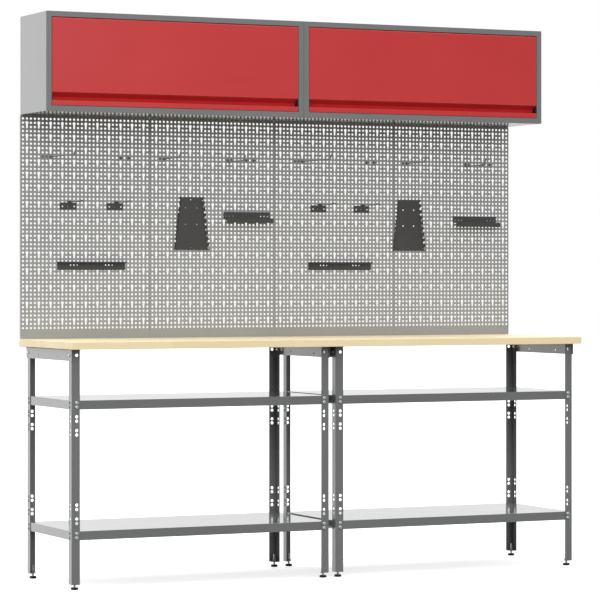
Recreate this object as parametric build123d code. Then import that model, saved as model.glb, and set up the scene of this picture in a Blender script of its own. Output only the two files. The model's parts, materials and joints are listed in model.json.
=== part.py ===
"""Double workbench with two perforated-panel bays and two wall cabinets with flip-up doors.

Frame: millimetres, +Z up, +X along the benches, -Y towards the user.
The origin is on the floor, under the middle of the overall outline.
"""
from build123d import *
from math import cos, radians, sin
import os

# ---------------------------------------------------------------- driving dimensions
BENCH_W = 1005.0          # one worktop, along X
TOP_D = 538.0             # worktop, front to back
TOP_Z = 850.0             # working height
TOP_T = 26.0
TOP_FRONT = -273.0        # Y of the worktop's front edge
TOP_BACK = TOP_FRONT + TOP_D
TOP_EDGE_R = 1.5
SCREW_R = 2.4             # worktop screw holes and shanks
SCREW_PLAY = 0.05
SCREW_DEPTH = 16.0
SCREW_HEAD = (4.5, 2.4)   # radius and height
SCREW_IN = 18.0           # from the leg's side face
SCREW_FROM_LEG = 70.0     # outer worktop screws, from the leg corners

SHEET = 2.0               # leg and apron steel
LEG_W = 30.0              # flange of the L-shaped legs
LEG_END_INSET = 13.5      # leg to worktop end
LEG_FRONT_INSET = 45.0
LEG_BACK_INSET = 47.5
LEG_BEND_R = 2.5
LEG_BOTTOM = 18.0
APRON_H = 40.0
APRON_PAST = 4.0          # how far the apron runs past the leg corners
APRON_CORNER_R = 5.0
APRON_HOLE_R = 3.5
APRON_HOLE_Z = 798.0
APRON_HOLE_AT = 0.28      # from each leg, as a share of the depth between them
APRON_TOP = TOP_Z - TOP_T
LEG_TOP = APRON_TOP - SHEET
HOLE_R = 5.5              # leg perforations
HOLE_FROM_CORNER = 18.4
PAIR = 15.0               # spacing within a hole pair
UPPER_PAIRS = (633.0, 586.0, 539.0)
LOWER_PAIRS = (185.0, 236.0, 284.0)
APRON_BOLT_Z = 804.0

SHELF_TOPS = {"upper": 648.8, "lower": 201.0}
SHELF_LIP = 31.0
SHELF_SHEET = 1.5
SHELF_RETURN = 12.0
SHELF_BEND_R = 1.2
SHELF_BOLT_DROP = 15.8    # middle of a bolt pair under the shelf's top

FOOT_R = 12.85
FOOT_H = 7.0
FOOT_ROUND = 2.5
FOOT_CHAMFER = 0.8
STUD_R = 4.0
STUD_TOP = 48.0
STUD_CLEARANCE = 0.05
FOOT_FROM_CORNER = 16.0
PLATE_T = 3.0             # threaded plate in each leg
NUT_H = 6.5
NUT_R = 7.5

BOLT_R = 3.0
HEAD_H = 2.6
HEAD_ROUND = 0.8          # rounding of a head, as a share of its height
SHELF_HEAD_R = 6.5
SHELF_SHANK = 10.0        # from the leg's outer face
SHELF_NUT_R = 5.6
APRON_HEAD_R = 5.0
APRON_SHANK = 9.0         # from the leg's side face
APRON_NUT_R = 6.6
BOLT_NUT_H = 4.0
CUT = 10.0                # spare length of a cutter through a sheet

PANEL_W = 499.4
PANEL_PITCH = 500.0
PANEL_H = 802.0
PANEL_D = 8.0
PANEL_SHEET = 1.2
PANEL_CORNER_R = 4.0
PANEL_FRONT = TOP_BACK    # the panels stand in the plane of the worktop's back edge
WALL = PANEL_FRONT + PANEL_D
PITCH = 15.0              # perforation grid
FIRST_COLUMN = 10.0
FIRST_ROW_Z = 1639.0
KEY_COLUMNS = range(1, 33, 3)
KEY_ROWS = (1, 4, 7, 10, 13, 16, 20, 24, 28, 32, 36, 40, 44, 48)
KEY_HEAD_R = 5.7
KEY_SLOT_W = 6.6
KEY_DROP = 17.0           # head centre to the centre of the slot's lower end
HOOK_ROW_Z = FIRST_ROW_Z - 9 * PITCH
HOOK_HOLES = (40.0, 55.0, 85.0, 100.0, 115.0, 310.0, 325.0, 385.0, 415.0)
HOOK_HOLE_R = 4.2

CAB_W = 996.5
CAB_FRONT = 8.0
CAB_BACK = WALL
CAB_BOTTOM = TOP_Z + PANEL_H
CAB_H = 351.0
CAB_SHEET = 1.5
STILE = 20.3
RAIL_TOP = 18.9
RAIL_BOTTOM = 20.5
RETURN_D = 22.0           # inward return round the door opening
CAB_EDGE_R = 1.5
BACK_SHEET = 1.2
HANGING_HOLE_R = 4.5
HANGING_X = 400.0         # from the cabinet's middle
HANGING_Z = 60.0          # from its top and bottom
DOOR_GAP = 1.5
DOOR_SHEET = 1.2
DOOR_PAN = 12.0
LIP_H = 17.5              # front lip under the grip
GRIP_H = 28.8
GRIP_D = 27.0
GRIP_BEND_H = 12.3
GRIP_BEND_D = 21.0
CAP_T = 3.0               # plastic plugs at the grip's ends
AXIS_IN = 5.0             # hinge axis behind the door face and under its top edge
PIN_R = 2.5
PIN_CLEARANCE = 0.05
PIN_IN = 9.0              # pin length beyond the return, into the door end
PIN_HEAD = (3.3, 2.0)     # radius and height

# gas struts, measured from the door's hinge axis (depth, height)
STRUT_DOOR = (18.0, -45.0)
STRUT_CASE = (118.0, -22.0)
STRUT_FROM_SIDE = 30.0    # strut centre line to the cabinet's outer side
TUBE_R = 6.0
ROD_R = 3.0
EYE_R = 5.0
EYE_T = 4.0
EYE_NECK = 0.7            # how far the neck runs into the eye
TUBE_START = 8.0          # from the casing pivot
TUBE_END = 88.0
TUBE_WALL_END = 6.0       # solid length at the closed end of the tube
ROD_START = 18.0          # from the casing pivot

# strut brackets
CASE_PLATE = (3.0, 18.0, 12.0)          # thickness, half depth, half height
BOSS_R = 3.7
CLIP_R = 3.5
PIN_REACH = 4.0           # pivot pin beyond the strut's centre line
EYE_SIDE_GAP = 0.3
EAR_GAP = 1.0             # between a rod end and the door's ear
EAR_T = 2.5
EAR_DEPTH = 8.0           # past the door pivot
EAR_Z = (-12.0, 22.0)     # from the door pivot
EAR_BASE_W = 14.0
EAR_SLOT = (6.0, 16.0)    # depth and height
EAR_SLOT_AT = (-1.0, 5.0)               # slot centre from the door pivot

# hooks: round bar, with a root strip behind the panel sheet
HOOK_R = 2.5
ROOT_T = 2.0
ROOT_HALF_H = 6.0
ROOT_PAST = 7.0           # strip beyond its outer holes
TIP_FORWARD = 18.0
TIP_UP = 17.0
PEG_REACH = 22.0
PEG_DISC_R = 5.6
# left and right end holes of the root, arm place, drop below the row, reach
LONG_HOOK = (85.0, 115.0, 115.0, 0.0, 235.0)
SHORT_HOOKS = ((40.0, 55.0, 55.0, 0.0, 142.0), (310.0, 325.0, 310.0, 7.0, 142.0))
PEGS = (385.0, 415.0)

# tool holders: places along X from a panel's left edge, heights from the floor
SMALL_HALF_W = 31.5
SMALL_Z = (1315.0, 1340.0)
SMALL_RAISED = (-2.0, 13.5, 1346.0)     # left, right and top of the raised middle
SMALL_T = 3.0
SMALL_HOLES = (-21.5, -1.5, 23.5)
SMALL_HOLE_Z = 1326.0
SMALL_PLACES = (181.0, 361.5)
FINGER_R = 1.8
FINGER_PATH = ((0.0, 1343.0), (100.0, 1341.5), (122.0, 1346.0), (146.0, 1340.0))

RACK_PLACE = 271.0
RACK_HALF_W = 130.5
RACK_Z = (1097.0, 1127.5)
RACK_LEDGE = 20.0
RACK_LIP = 5.0
RACK_T = 2.0
RACK_HOLES = 6
RACK_PITCH = 40.0
RACK_HOLE_R = 6.0
RACK_SCREWS = (-80.0, -67.5, -55.0, 55.0, 67.5, 80.0)
RACK_SCREW_Z = 1115.0

SPANNER_PLACES = {1: 161.0, 3: 60.5}    # panel number counted from 0: place
SPANNER_Z = (1171.0, 1365.0)
SPANNER_TOP_HALF = 38.4
SPANNER_LOW_HALF = 61.4
SPANNER_T = 1.5
SPANNER_STAND = 3.0       # gap to the panel
SPANNER_BOSS_R = 5.0
SPANNER_BOSSES = (1341.0, 1196.0)
SPANNER_HOLES = ((0, 1356.5), (-22.6, 1326), (22.6, 1326), (-22.6, 1265.6), (22.6, 1265.6),
                 (0, 1180))
FLANGE_OUT = 9.1          # the notched flanges run outwards and forwards
FLANGE_FORWARD = 10.0
NOTCHES = 9
NOTCH_START = 0.42        # first notch from the top, in notch spacings
NOTCH_W = 8.0
NOTCH_TILT = 35.0         # notches open outwards and upwards

LEDGE_PLACES = {1: (387.0, 0.0), 3: (349.0, -8.5)}    # panel: place and height offset
LEDGE_HALF_W = 94.5
LEDGE_Z = (1287.0, 1312.0)
LEDGE_D = 35.0
LEDGE_LIP = 15.0          # the front lip hangs down
LEDGE_T = 1.5
LEDGE_SCREWS = (-84.0, -70.0, -56.0, 56.0, 70.0, 84.0)
LEDGE_SCREW_Z = 1297.0
SCREW_HOLE_R = 2.8

bench_centres = {"left": -BENCH_W / 2, "right": BENCH_W / 2}
cabinet_centres = {"left": -CAB_W / 2 - 0.5, "right": CAB_W / 2 + 0.5}
half_frame = BENCH_W / 2 - LEG_END_INSET
leg_front = TOP_FRONT + LEG_FRONT_INSET
leg_back = TOP_BACK - LEG_BACK_INSET


# ---------------------------------------------------------------- helpers
def block(x0, x1, y0, y1, z0, z1):
    """A box from its limits on each axis."""
    size = (x1 - x0, y1 - y0, z1 - z0)
    middle = ((x0 + x1) / 2, (y0 + y1) / 2, (z0 + z1) / 2)
    return Pos(*middle) * Box(*size)


def rod(start, end, radius):
    """A straight round bar between two points."""
    a, b = Vector(*start), Vector(*end)
    plane = Plane(origin=a, z_dir=(b - a))
    return extrude(plane * Circle(radius), (b - a).length)


def save(shape, node):
    export_step(shape, f"parts/{node}.step")
    print(f"{node:28s} {len(shape.solids()):3d} solids {shape.volume / 1000:10.2f} cm3")


def group(solids):
    """Separate pieces kept together in one node."""
    return Compound(children=[s for item in solids for s in item.solids()])


def dome_head(position, axis, radius, height=HEAD_H):
    """A rounded screw head, standing on the surface at position and facing along axis."""
    head = Cylinder(radius, height, align=(Align.CENTER, Align.CENTER, Align.MIN))
    head = fillet(head.edges().group_by(Axis.Z)[-1], height * HEAD_ROUND)
    return Plane(origin=position, z_dir=axis) * head


# ---------------------------------------------------------------- benches
def leg(sx, sy, cx):
    """L-shaped leg with its corner outwards; sx and sy point to the bench's outside."""
    x = cx + sx * half_frame
    y = leg_front if sy < 0 else leg_back
    outer = block(*sorted((x, x - sx * LEG_W)), *sorted((y, y - sy * LEG_W)), LEG_BOTTOM, LEG_TOP)
    ix, iy = x - sx * SHEET, y - sy * SHEET
    inner = block(*sorted((ix, ix - sx * LEG_W)), *sorted((iy, iy - sy * LEG_W)), 0, TOP_Z)
    corner = outer.edges().filter_by(Axis.Z).sort_by_distance((x, y, TOP_Z / 2))[0]
    body = fillet(corner, LEG_BEND_R) - inner
    heights = [APRON_BOLT_Z]
    for middle in UPPER_PAIRS + LOWER_PAIRS:
        heights += [middle + PAIR / 2, middle - PAIR / 2]
    hx = x - sx * HOLE_FROM_CORNER
    hy = y - sy * HOLE_FROM_CORNER
    for z in heights:
        body -= Pos(hx, y, z) * Rot(90, 0, 0) * Cylinder(HOLE_R, 3 * SHEET)
        body -= Pos(x, hy, z) * Rot(0, 90, 0) * Cylinder(HOLE_R, 3 * SHEET)
    return body


def apron(sx, cx):
    """End apron: a plate outside the two legs with a flange under the worktop."""
    x = cx + sx * half_frame
    outer = x + sx * SHEET
    y0, y1 = leg_front - APRON_PAST, leg_back + APRON_PAST
    web = block(*sorted((x, outer)), y0, y1, APRON_TOP - APRON_H, APRON_TOP)
    lower = web.edges().filter_by(Axis.X).group_by(Axis.Z)[0]
    web = fillet(lower, APRON_CORNER_R)
    flange = block(*sorted((outer, x - sx * LEG_W)), y0, y1, LEG_TOP, APRON_TOP)
    plate = web + flange
    bend = plate.edges().filter_by(Axis.Y).sort_by_distance((outer, (y0 + y1) / 2, APRON_TOP))[0]
    plate = fillet(bend, LEG_BEND_R)
    for y in apron_hole_places():
        plate -= Pos(outer, y, APRON_HOLE_Z) * Rot(0, 90, 0) * Cylinder(APRON_HOLE_R, 6 * SHEET)
    for y in apron_bolt_places():
        plate -= Pos(outer, y, APRON_BOLT_Z) * Rot(0, 90, 0) * Cylinder(BOLT_R, 6 * SHEET)
    for y in worktop_screw_places():
        hole = Cylinder(SCREW_R, 4 * SHEET)
        plate -= Pos(x - sx * SCREW_IN, y, LEG_TOP) * hole
    return plate


def apron_hole_places():
    depth = leg_back - leg_front
    return leg_front + APRON_HOLE_AT * depth, leg_back - APRON_HOLE_AT * depth


def apron_bolt_places():
    return leg_front + HOLE_FROM_CORNER, leg_back - HOLE_FROM_CORNER


def worktop_screw_places():
    middle = (leg_front + leg_back) / 2
    return leg_front + SCREW_FROM_LEG, middle, leg_back - SCREW_FROM_LEG


def worktop(cx):
    """Solid wood top with eased edges and blind holes for its screws."""
    top = block(cx - BENCH_W / 2, cx + BENCH_W / 2, TOP_FRONT, TOP_BACK, TOP_Z - TOP_T, TOP_Z)
    top = fillet(top.edges(), TOP_EDGE_R)
    for sx in (-1, 1):
        for y in worktop_screw_places():
            x = cx + sx * (half_frame - SCREW_IN)
            top -= Pos(x, y, APRON_TOP + SCREW_DEPTH / 2) * Cylinder(SCREW_R, SCREW_DEPTH)
    return top


def shelf_limits(cx):
    """Outline of a pan shelf between its legs: x0, x1, y0, y1."""
    half = half_frame - SHEET
    return cx - half, cx + half, leg_front + SHEET, leg_back - SHEET


def shelf(top_z, cx):
    """Flat of a pan shelf, rounded where its front and back lips turn down."""
    flat = block(*shelf_limits(cx), top_z - SHELF_SHEET, top_z)
    return fillet(flat.edges().filter_by(Axis.X).group_by(Axis.Z)[-1], SHELF_BEND_R)


def shelf_lips(cx):
    """The four lips of both shelves; the front and back ones turn inwards at the bottom."""
    x0, x1, y0, y1 = shelf_limits(cx)
    t = SHELF_SHEET
    lips = []
    for top_z in SHELF_TOPS.values():
        z0, z1 = top_z - SHELF_LIP, top_z - t
        front = block(x0, x1, y0, y0 + t, z0, z1)
        front += block(x0 + t, x1 - t, y0, y0 + SHELF_RETURN, z0, z0 + t)
        back = block(x0, x1, y1 - t, y1, z0, z1)
        back += block(x0 + t, x1 - t, y1 - SHELF_RETURN, y1, z0, z0 + t)
        for x, z in shelf_bolt_places(cx, top_z):
            front -= Pos(x, y0, z) * Rot(90, 0, 0) * Cylinder(BOLT_R, CUT)
            back -= Pos(x, y1, z) * Rot(90, 0, 0) * Cylinder(BOLT_R, CUT)
        sides = [block(a, b, y0 + t, y1 - t, z0, z1) for a, b in ((x0, x0 + t), (x1 - t, x1))]
        lips += [front, back, *sides]
    return group(lips)


def shelf_bolt_places(cx, top_z):
    """X and Z of the bolts along one lip of a shelf, two at each leg."""
    middle = top_z - SHELF_BOLT_DROP
    inset = half_frame - HOLE_FROM_CORNER
    return [(cx + sx * inset, middle + dz) for sx in (-1, 1) for dz in (-PAIR / 2, PAIR / 2)]


def shelf_bolts():
    """Bolts through the legs and the front and back lips of the shelves."""
    pieces = []
    for cx in bench_centres.values():
        for top_z in SHELF_TOPS.values():
            for x, z in shelf_bolt_places(cx, top_z):
                pieces += [shelf_bolt(x, leg_front, z, -1), shelf_bolt(x, leg_back, z, 1)]
    return group(pieces)


def shelf_bolt(x, y, z, sy):
    """Bolt with its head outside the leg and its nut inside the shelf's lip."""
    head = dome_head((x, y, z), (0, sy, 0), SHELF_HEAD_R)
    shank = rod((x, y, z), (x, y - sy * SHELF_SHANK, z), BOLT_R)
    inner = y - sy * (SHEET + SHELF_SHEET)
    face = Plane(origin=(x, inner, z), z_dir=(0, -sy, 0))
    nut = extrude(face * RegularPolygon(SHELF_NUT_R, 6), BOLT_NUT_H)
    return head + shank + nut


def apron_bolts():
    """Bolts through apron and leg side flange, nuts inside."""
    pieces = []
    for cx in bench_centres.values():
        for sx in (-1, 1):
            x = cx + sx * half_frame
            for y in apron_bolt_places():
                start = (x + sx * SHEET, y, APRON_BOLT_Z)
                head = dome_head(start, (sx, 0, 0), APRON_HEAD_R)
                shank = rod(start, (x - sx * APRON_SHANK, y, APRON_BOLT_Z), BOLT_R)
                face = Plane(origin=(x - sx * SHEET, y, APRON_BOLT_Z), z_dir=(-sx, 0, 0))
                nut = extrude(face * RegularPolygon(APRON_NUT_R, 6), BOLT_NUT_H)
                pieces.append(head + shank + nut)
    return group(pieces)


def worktop_screws():
    """Screws from the apron flange up into the wood."""
    pieces = []
    for cx in bench_centres.values():
        for sx in (-1, 1):
            x = cx + sx * (half_frame - SCREW_IN)
            for y in worktop_screw_places():
                head = dome_head((x, y, LEG_TOP), (0, 0, -1), *SCREW_HEAD)
                tip = (x, y, APRON_TOP + SCREW_DEPTH)
                shank = rod((x, y, LEG_TOP), tip, SCREW_R - SCREW_PLAY)
                pieces.append(head + shank)
    return group(pieces)


def foot_place(sx, sy, cx):
    x = cx + sx * (half_frame - FOOT_FROM_CORNER)
    y = leg_front + FOOT_FROM_CORNER if sy < 0 else leg_back - FOOT_FROM_CORNER
    return x, y


def foot_inserts():
    """Plate with a welded nut in the bottom of every leg."""
    side = 2 * (LEG_W - FOOT_FROM_CORNER)
    pieces = []
    for cx in bench_centres.values():
        for sx in (-1, 1):
            for sy in (-1, 1):
                x, y = foot_place(sx, sy, cx)
                plate = Pos(x, y, LEG_BOTTOM + PLATE_T / 2) * Box(side, side, PLATE_T)
                nut = Plane(origin=(x, y, LEG_BOTTOM + PLATE_T)) * RegularPolygon(NUT_R, 6)
                insert = plate + extrude(nut, NUT_H)
                insert -= Pos(x, y, LEG_BOTTOM) * Cylinder(STUD_R + STUD_CLEARANCE, STUD_TOP)
                pieces.append(insert)
    return group(pieces)


def foot(x, y):
    """Levelling foot: a disc on a stud."""
    pad = Cylinder(FOOT_R, FOOT_H, align=(Align.CENTER, Align.CENTER, Align.MIN))
    pad = fillet(pad.edges().group_by(Axis.Z)[-1], FOOT_ROUND)
    pad = chamfer(pad.edges().group_by(Axis.Z)[0], FOOT_CHAMFER)
    return Pos(x, y, 0) * pad + rod((x, y, FOOT_H / 2), (x, y, STUD_TOP), STUD_R)


# ---------------------------------------------------------------- wall panels
def keyhole(x, z):
    """Outline of one keyhole: a round head with a slot hanging from it."""
    half = KEY_SLOT_W / 2
    join = (KEY_HEAD_R ** 2 - half ** 2) ** 0.5
    low = KEY_DROP
    head = ThreePointArc((x - half, z - join), (x, z + KEY_HEAD_R), (x + half, z - join))
    right = Line((x + half, z - join), (x + half, z - low))
    end = ThreePointArc((x + half, z - low), (x, z - low - half), (x - half, z - low))
    left = Line((x - half, z - low), (x - half, z - join))
    return Wire([head, right, end, left])


def panel():
    """One perforated panel, with its left edge at X 0 and its face at Y 0."""
    middle = Pos(PANEL_PITCH / 2, TOP_Z + PANEL_H / 2)
    outline = middle * RectangleRounded(PANEL_W, PANEL_H, PANEL_CORNER_R)
    holes = []
    for column in KEY_COLUMNS:
        for row in KEY_ROWS:
            holes.append(keyhole(FIRST_COLUMN + column * PITCH, FIRST_ROW_Z - row * PITCH))
    for x in HOOK_HOLES:
        holes.append(Wire.make_circle(HOOK_HOLE_R, Plane((x, HOOK_ROW_Z, 0))))
    sheet = Face(outline.face().outer_wire(), holes)
    sheet = extrude(sheet, PANEL_SHEET)
    rim = outline - offset(outline, -PANEL_SHEET)
    rim = extrude(rim, PANEL_D)
    # drawn in XY, then stood up so that the thickness runs to +Y
    return mirror(Rot(90, 0, 0) * (sheet + rim), Plane.XZ)


# ---------------------------------------------------------------- cabinets
def casing(cx):
    """Cabinet shell: two sides, top, bottom and a front frame with inward returns."""
    x0, x1 = cx - CAB_W / 2, cx + CAB_W / 2
    z0, z1 = CAB_BOTTOM, CAB_BOTTOM + CAB_H
    t = CAB_SHEET
    shell = block(x0, x1, CAB_FRONT, CAB_BACK, z0, z1)
    shell = fillet(shell.edges().filter_by(Axis.Y), CAB_EDGE_R)
    shell -= block(x0 + t, x1 - t, CAB_FRONT + t, CAB_BACK + 1, z0 + t, z1 - t)
    ox0, ox1, oz0, oz1 = opening(cx)
    collar = block(ox0 - t, ox1 + t, CAB_FRONT, CAB_FRONT + RETURN_D, oz0 - t, oz1 + t)
    shell += collar
    shell -= block(ox0, ox1, CAB_FRONT - 1, CAB_FRONT + RETURN_D + 1, oz0, oz1)
    y, z = hinge_axis()
    for x in (ox0, ox1):
        shell -= Pos(x, y, z) * Rot(0, 90, 0) * Cylinder(PIN_R, 4 * t)
    return shell


def opening(cx):
    """Door opening in the front frame: x0, x1, z0, z1."""
    half = CAB_W / 2 - STILE
    return cx - half, cx + half, CAB_BOTTOM + RAIL_BOTTOM, CAB_BOTTOM + CAB_H - RAIL_TOP


def hinge_axis():
    """Y and Z of the door's hinge line."""
    return CAB_FRONT + AXIS_IN, opening(0)[3] - DOOR_GAP - AXIS_IN


def cabinet_back(cx):
    """Back sheet with four hanging holes."""
    t = CAB_SHEET
    x0, x1 = cx - CAB_W / 2 + t, cx + CAB_W / 2 - t
    z0, z1 = CAB_BOTTOM + t, CAB_BOTTOM + CAB_H - t
    back = block(x0, x1, CAB_BACK - BACK_SHEET, CAB_BACK, z0, z1)
    for x, z in hanging_holes(cx):
        back -= Pos(x, CAB_BACK, z) * Rot(90, 0, 0) * Cylinder(HANGING_HOLE_R, CUT)
    return back


def hanging_holes(cx):
    high = CAB_BOTTOM + CAB_H - HANGING_Z
    low = CAB_BOTTOM + HANGING_Z
    return [(cx + sx * HANGING_X, z) for sx in (-1, 1) for z in (low, high)]


def door(cx):
    """Flip-up door: folded sheet with a finger grip along the bottom and closed ends."""
    ox0, ox1, oz0, oz1 = opening(cx)
    x0, x1 = ox0 + DOOR_GAP, ox1 - DOOR_GAP
    z0 = oz0 + DOOR_GAP
    height = oz1 - DOOR_GAP - z0
    t = DOOR_SHEET
    y = CAB_FRONT
    axis_y, axis_z = hinge_axis()
    pan = block(x0, x1, y, y + DOOR_PAN, z0, z0 + height)
    top_edge = pan.edges().filter_by(Axis.X).group_by(Axis.Z)[-1].sort_by(Axis.Y)[0]
    pan = fillet(top_edge, AXIS_IN)
    grip = door_grip(x0, x1, y, z0, 0)
    inner = block(x0 + t, x1 - t, y + t, y + DOOR_PAN + 1, z0 + t, z0 + height - t)
    inner_edge = inner.edges().filter_by(Axis.X).group_by(Axis.Z)[-1].sort_by(Axis.Y)[0]
    inner = fillet(inner_edge, AXIS_IN - t)
    body = pan - inner
    body += door_grip(x0, x1, y, z0, t)
    body -= grip
    # folded eyes at both ends carry the hinge pins
    for xa, xb in ((x0, x0 + PIN_IN), (x1 - PIN_IN, x1)):
        eye = rod((xa, axis_y, axis_z), (xb, axis_y, axis_z), AXIS_IN)
        body += eye
    bore = rod((x0 - 1, axis_y, axis_z), (x1 + 1, axis_y, axis_z), PIN_R + PIN_CLEARANCE)
    return body - bore


def door_grip(x0, x1, y, z0, grow):
    """The grip recess as a prism; grow thickens it outwards by one sheet."""
    low = z0 + LIP_H - grow
    bend = z0 + LIP_H + GRIP_BEND_H + grow * 0.7
    front = y - 1 if grow == 0 else y
    slope = (GRIP_H - GRIP_BEND_H) / GRIP_BEND_D
    high = z0 + LIP_H + GRIP_H + 1.6 * grow + slope * (y - front)
    section = Polyline(
        (front, low), (y + GRIP_D + grow, low), (y + GRIP_BEND_D + grow, bend),
        (front, high), (front, low))
    face = make_face(section)
    return Pos(x0, 0, 0) * extrude(Plane.YZ * face, x1 - x0)


def door_caps(cx):
    """Plastic plugs closing both ends of the grip recess."""
    ox0, ox1, oz0 = opening(cx)[:3]
    x0, x1 = ox0 + DOOR_GAP, ox1 - DOOR_GAP
    z0 = oz0 + DOOR_GAP
    front, back = CAB_FRONT + DOOR_SHEET / 2, CAB_FRONT + 2 * GRIP_D
    room = block(x0, x1, front, back, z0, z0 + 2 * LIP_H + GRIP_H)
    plugs = [door_grip(x, x + CAP_T, CAB_FRONT, z0, 0) & room for x in (x0, x1 - CAP_T)]
    return group(plugs)


def hinge_pins(cx):
    """Two headed pins from the frame's returns into the door's ends."""
    ox0, ox1 = opening(cx)[:2]
    y, z = hinge_axis()
    head_r, head_h = PIN_HEAD
    pins = []
    for x, side in ((ox0, 1), (ox1, -1)):
        back = x - side * CAB_SHEET
        pin = rod((back, y, z), (x + side * PIN_IN, y, z), PIN_R)
        head = rod((back - side * head_h, y, z), (back, y, z), head_r)
        pins.append(pin + head)
    return group(pins)


def strut_points():
    """Door pivot and casing pivot of the struts, as Y and Z, with the door shut."""
    y, z = hinge_axis()
    return (y + STRUT_DOOR[0], z + STRUT_DOOR[1]), (y + STRUT_CASE[0], z + STRUT_CASE[1])


def along_strut(distance):
    """The Y and Z of a point on the strut, measured from the casing pivot."""
    (dy, dz), (cy, cz) = strut_points()
    length = ((dy - cy) ** 2 + (dz - cz) ** 2) ** 0.5
    k = distance / length
    return cy + (dy - cy) * k, cz + (dz - cz) * k


def strut_places(cx):
    """Centre line X of the left and the right strut."""
    half = CAB_W / 2 - STRUT_FROM_SIDE
    return cx - half, cx + half


def strut_eye(x, y, z):
    """Eye of a strut end and the cutter for its bore."""
    eye = rod((x - EYE_T / 2, y, z), (x + EYE_T / 2, y, z), EYE_R)
    bore = rod((x - EYE_T, y, z), (x + EYE_T, y, z), PIN_R + PIN_CLEARANCE)
    return eye, bore


def strut_tubes(cx):
    """Gas spring cylinders with their casing-end eyes."""
    tubes = []
    closed_end = along_strut(TUBE_START + TUBE_WALL_END)
    open_end, past_end = along_strut(TUBE_END), along_strut(TUBE_END + TUBE_WALL_END)
    for x in strut_places(cx):
        tube = rod((x, *along_strut(TUBE_START)), (x, *open_end), TUBE_R)
        tube -= rod((x, *closed_end), (x, *past_end), ROD_R + PIN_CLEARANCE)
        neck = rod((x, *along_strut(EYE_R - EYE_NECK)), (x, *along_strut(TUBE_START)), ROD_R)
        eye, bore = strut_eye(x, *along_strut(0))
        tubes.append(tube + neck + eye - bore)
    return group(tubes)


def strut_rods(cx):
    """Piston rods with the eyes at the door end."""
    (dy, dz), (cy, cz) = strut_points()
    length = ((dy - cy) ** 2 + (dz - cz) ** 2) ** 0.5
    rod_end = along_strut(length - EYE_R + EYE_NECK)
    rods = []
    for x in strut_places(cx):
        shaft = rod((x, *along_strut(ROD_START)), (x, *rod_end), ROD_R)
        eye, bore = strut_eye(x, dy, dz)
        rods.append(shaft + eye - bore)
    return group(rods)


def case_brackets(cx):
    """Strut pivots on the cabinet sides: plate, boss, pin and a clip on the pin's end."""
    y, z = strut_points()[1]
    thick, half_d, half_h = CASE_PLATE
    pieces = []
    for x, side in zip(strut_places(cx), (-1, 1)):
        wall = cx + side * (CAB_W / 2 - CAB_SHEET)
        face = wall - side * thick
        eye_side = side * (EYE_T / 2 + EYE_SIDE_GAP)
        end = x - side * PIN_REACH
        plate = block(*sorted((wall, face)), y - half_d, y + half_d, z - half_h, z + half_h)
        boss = rod((face, y, z), (x + eye_side, y, z), BOSS_R)
        pin = rod((face, y, z), (end, y, z), PIN_R)
        clip = rod((x - eye_side, y, z), (end, y, z), CLIP_R)
        pieces.append(plate + boss + pin + clip)
    return group(pieces)


def door_brackets(cx):
    """Slotted ears on the door beside the rod ends; the slot takes up the linkage play."""
    y, z = strut_points()[0]
    skin = CAB_FRONT + DOOR_SHEET
    low, high = z + EAR_Z[0], z + EAR_Z[1]
    slot_d, slot_h = EAR_SLOT
    pieces = []
    for x, side in zip(strut_places(cx), (-1, 1)):
        near = x - side * (EYE_T / 2 + EAR_GAP)
        far = near - side * EAR_T
        ear = block(*sorted((near, far)), skin, y + EAR_DEPTH, low, high)
        base = block(*sorted((near, far - side * EAR_BASE_W)), skin, skin + EAR_T, low, high)
        middle = ((near + far) / 2, y + EAR_SLOT_AT[0], z + EAR_SLOT_AT[1])
        slot = Pos(*middle) * Box(2 * EAR_T, slot_d, slot_h)
        pieces.append(ear + base - slot)
    return group(pieces)


# ---------------------------------------------------------------- tool holders
def plate(x0, x1, z0, z1, thick, stand=0.0):
    """A flat plate in front of the panels; stand is the gap behind it."""
    back = PANEL_FRONT - stand
    return block(x0, x1, back - thick, back, z0, z1)


def drill(x, z, radius):
    """A round cutter along Y at a place on the panels."""
    return Pos(x, PANEL_FRONT, z) * Rot(90, 0, 0) * Cylinder(radius, 40)


def bar(points, radius):
    """Round bar bent along points, with a ball at each bend and at its end."""
    piece = rod(points[0], points[1], radius)
    for start, end in zip(points[1:], points[2:]):
        piece += rod(start, end, radius)
    for point in points[1:]:
        piece += Pos(*point) * Sphere(radius)
    return piece


def hook(left, sizes):
    """Hook with a root strip behind the sheet and an arm with an upturned tip."""
    first, last, place, drop, reach = sizes
    root_y = PANEL_FRONT + PANEL_SHEET
    x0, x1 = left + first - ROOT_PAST, left + last + ROOT_PAST
    z = HOOK_ROW_Z
    root = block(x0, x1, root_y, root_y + ROOT_T, z - ROOT_HALF_H, z + ROOT_HALF_H)
    x, neck_y, end_y = left + place, PANEL_FRONT - 2 * HOOK_R, PANEL_FRONT - reach
    points = [(x, root_y, z), (x, neck_y, z)]
    if drop:
        points.append((x, neck_y, z - drop))
    points.append((x, end_y, z - drop))
    points.append((x, end_y - TIP_FORWARD, z - drop + TIP_UP))
    return root + bar(points, HOOK_R)


def peg(x):
    """Short straight peg on a disc behind the sheet."""
    root_y = PANEL_FRONT + PANEL_SHEET
    disc = rod((x, root_y, HOOK_ROW_Z), (x, root_y + ROOT_T, HOOK_ROW_Z), PEG_DISC_R)
    arm = bar([(x, root_y, HOOK_ROW_Z), (x, PANEL_FRONT - PEG_REACH, HOOK_ROW_Z)], HOOK_R)
    return disc + arm


def hooks():
    """Long hooks on the first and third panels, short ones on the others, pegs on all."""
    pieces = []
    for i in range(4):
        left = (i - 2) * PANEL_PITCH
        pieces += [peg(left + x) for x in PEGS]
        sizes = (LONG_HOOK,) if i % 2 == 0 else SHORT_HOOKS
        pieces += [hook(left, size) for size in sizes]
    return group(pieces)


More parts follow.
